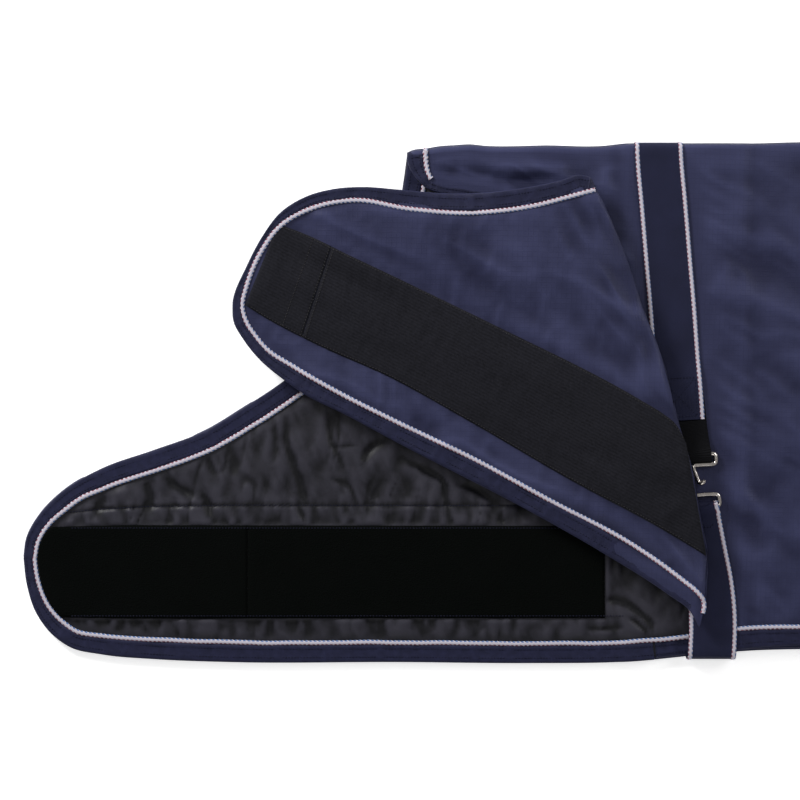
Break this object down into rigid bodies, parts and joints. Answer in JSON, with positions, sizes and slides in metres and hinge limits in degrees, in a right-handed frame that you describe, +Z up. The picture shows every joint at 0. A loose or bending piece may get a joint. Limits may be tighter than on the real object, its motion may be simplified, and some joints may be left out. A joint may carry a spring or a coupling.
{
  "type": "turnout rug",
  "caption": "Small waterproof horse rug folded in half along the spine, with chest flaps that close with hook and loop, and a girth strap with a T hook and ring.",
  "frame": {"origin": "centre of the bounding box on the floor that the rug lies on", "axes": "+X from the chest to the tail, +Y from the hem to the spine fold, +Z up from the floor"},
  "size_m": [1.62, 0.5442, 0.0358],
  "materials": {
    "navy_ripstop": "woven ripstop, matt with a faint sheen",
    "black_lining": "smooth nylon",
    "polyfill": "loose wadding",
    "navy_tape": "ribbed webbing and tape",
    "twisted_trim": "twisted pale cord with pink and blue ticks",
    "hook_tape": "matt hook tape",
    "loop_tape": "fuzzy loop tape",
    "black_elastic": "ribbed elastic",
    "plated_steel": "polished wire"
  },
  "bodies": {
    "rug": {"far_shell": "navy_ripstop", "near_shell": "navy_ripstop", "far_fill": "polyfill", "near_fill": "polyfill", "far_lining": "black_lining", "near_lining": "black_lining", "near_pleat_return": "black_lining", "far_neck_binding": "navy_tape", "far_hem_binding": "navy_tape", "near_neck_binding": "navy_tape", "near_hem_binding": "navy_tape", "girth_strap": "navy_tape", "far_neck_trim": "twisted_trim", "far_hem_trim": "twisted_trim", "near_neck_trim": "twisted_trim", "near_hem_trim": "twisted_trim", "girth_strap_trim_left": "twisted_trim", "girth_strap_trim_right": "twisted_trim", "far_hook_tape_front": "hook_tape", "far_hook_tape_rear": "hook_tape", "elastic_tab": "black_elastic"},
    "near_flap": {"near_flap_shell": "navy_ripstop", "near_flap_fill": "polyfill", "near_flap_lining": "black_lining", "near_flap_binding": "navy_tape", "near_flap_trim": "twisted_trim", "near_loop_tape_front": "loop_tape", "near_loop_tape_rear": "loop_tape"},
    "far_flap_end": {"far_end_shell": "navy_ripstop", "far_end_fill": "polyfill", "far_end_lining": "black_lining", "far_end_binding": "navy_tape", "far_end_trim": "twisted_trim", "far_end_hook_tape": "hook_tape"},
    "t_hook": {"t_hook": "plated_steel"},
    "strap_ring": {"strap_ring": "plated_steel"},
    "tail_flap": {"tail_flap_near": "navy_ripstop", "tail_flap_far": "navy_ripstop", "tail_flap_near_binding": "navy_tape", "tail_flap_far_binding": "navy_tape"}
  },
  "joints": [
    {"name": "near_flap_swing", "type": "hinge", "parent": "rug", "child": "near_flap", "pos_m": [-0.075, -0.2579, 0.03], "axis": [0, 0, 1], "range_deg": [0, 26]},
    {"name": "far_flap_fold", "type": "hinge", "parent": "rug", "child": "far_flap_end", "pos_m": [-0.703, -0.165, 0.0156], "axis": [0, 1, 0], "range_deg": [0, 175]},
    {"name": "t_hook_tilt", "type": "hinge", "parent": "rug", "child": "t_hook", "pos_m": [-0.1175, -0.0546, 0.0184], "axis": [-0.9976, -0.0698, 0], "range_deg": [0, 8]},
    {"name": "strap_ring_tilt", "type": "hinge", "parent": "rug", "child": "strap_ring", "pos_m": [-0.113, -0.1108, 0.0187], "axis": [0.9903, 0.1392, 0], "range_deg": [0, 20]},
    {"name": "tail_flap_fold", "type": "hinge", "parent": "rug", "child": "tail_flap", "pos_m": [0.64015, 0.17, 0.0146], "axis": [0, -1, 0], "range_deg": [0, 170]}
  ]
}
